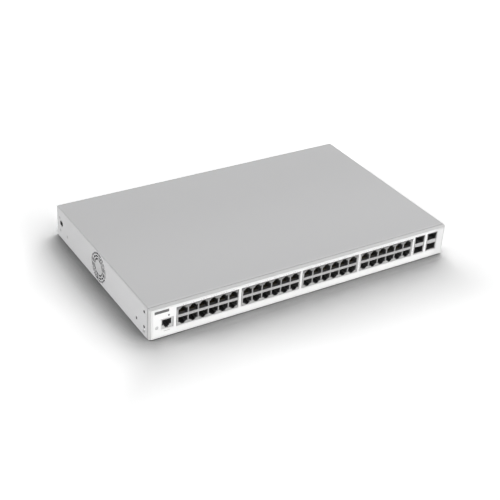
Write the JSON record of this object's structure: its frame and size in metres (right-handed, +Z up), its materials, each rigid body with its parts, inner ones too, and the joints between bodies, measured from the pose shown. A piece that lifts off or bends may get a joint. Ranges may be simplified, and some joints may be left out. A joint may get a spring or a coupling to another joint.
{
  "type": "rackmount network switch",
  "caption": "One rack unit high network switch: a shallow sheet-metal box with a moulded front full of cable ports, a vented side fan and a rear power inlet.",
  "frame": {"origin": "bottom centre of the unit's box", "axes": "+X to the right seen from the front, the front faces -Y, +Z up"},
  "size_m": [0.445, 0.273, 0.044],
  "materials": {
    "case_zinc": "zinc-plated sheet, satin",
    "cover_paint": "fine-grained powder coat, satin",
    "bezel_plastic": "moulded, fine matt grain",
    "overlay_print": "printed film, matt",
    "shield_metal": "tin-plated sheet",
    "jack_plastic": "moulded",
    "light_pipe_clear": "clear moulding",
    "button_plastic": "moulded",
    "board_laminate": "solder mask",
    "chip_package": "moulded package",
    "heatsink_aluminium": "extruded, bare",
    "fan_plastic": "moulded",
    "header_plastic": "moulded",
    "lead_sleeve_black": "sleeved lead",
    "lead_sleeve_red": "sleeved lead",
    "winding_copper": "varnished copper",
    "capacitor_sleeve": "shrunk sleeve",
    "inlet_plastic": "moulded",
    "screw_steel": "nickel-plated"
  },
  "bodies": {
    "case": {"chassis_base": "case_zinc", "front_plate": "case_zinc", "top_cover": "cover_paint", "front_bezel": "bezel_plastic", "front_overlay": "overlay_print", "port_shield_1": "shield_metal", "port_shield_2": "shield_metal", "port_shield_3": "shield_metal", "port_shield_4": "shield_metal", "console_shield": "shield_metal", "sfp_cage_1": "shield_metal", "sfp_cage_2": "shield_metal", "port_insert_1": "jack_plastic", "port_insert_2": "jack_plastic", "port_insert_3": "jack_plastic", "port_insert_4": "jack_plastic", "console_insert": "jack_plastic", "sfp_connector_1": "jack_plastic", "sfp_connector_2": "jack_plastic", "mode_switch": "jack_plastic", "light_pipe_1": "light_pipe_clear", "light_pipe_2": "light_pipe_clear", "light_pipe_3": "light_pipe_clear", "light_pipe_4": "light_pipe_clear", "status_light_pipe": "light_pipe_clear", "main_board": "board_laminate", "psu_board": "board_laminate", "switch_chip": "chip_package", "processor_chip": "chip_package", "phy_chip_1": "chip_package", "phy_chip_2": "chip_package", "phy_chip_3": "chip_package", "phy_chip_4": "chip_package", "switch_heatsink": "heatsink_aluminium", "psu_heatsink_1": "heatsink_aluminium", "psu_heatsink_2": "heatsink_aluminium", "fan_frame": "fan_plastic", "fan_header": "header_plastic", "fan_cable": "lead_sleeve_black", "neutral_lead": "lead_sleeve_black", "live_lead": "lead_sleeve_red", "dc_harness": "lead_sleeve_red", "psu_transformer": "winding_copper", "psu_choke": "winding_copper", "psu_capacitor": "capacitor_sleeve", "power_inlet": "inlet_plastic", "fan_screw_1": "screw_steel", "fan_screw_2": "screw_steel", "inlet_screw_1": "screw_steel", "inlet_screw_2": "screw_steel", "ground_screw": "screw_steel", "cover_screw_1": "screw_steel", "cover_screw_2": "screw_steel", "cover_screw_3": "screw_steel", "cover_screw_4": "screw_steel"},
    "fan_rotor": {"fan_rotor": "fan_plastic"},
    "mode_button": {"mode_button": "button_plastic"}
  },
  "joints": [
    {"name": "fan_rotor_spin", "type": "hinge", "parent": "case", "child": "fan_rotor", "pos_m": [-0.2099, 0.0049, 0.022], "axis": [1, 0, 0], "continuous": true},
    {"name": "mode_button_press", "type": "slide", "parent": "case", "child": "mode_button", "axis": [0, 1, 0], "range_m": [0, 0.0006], "stiffness_N_per_m": 1500, "springref_m": -0.0003}
  ]
}
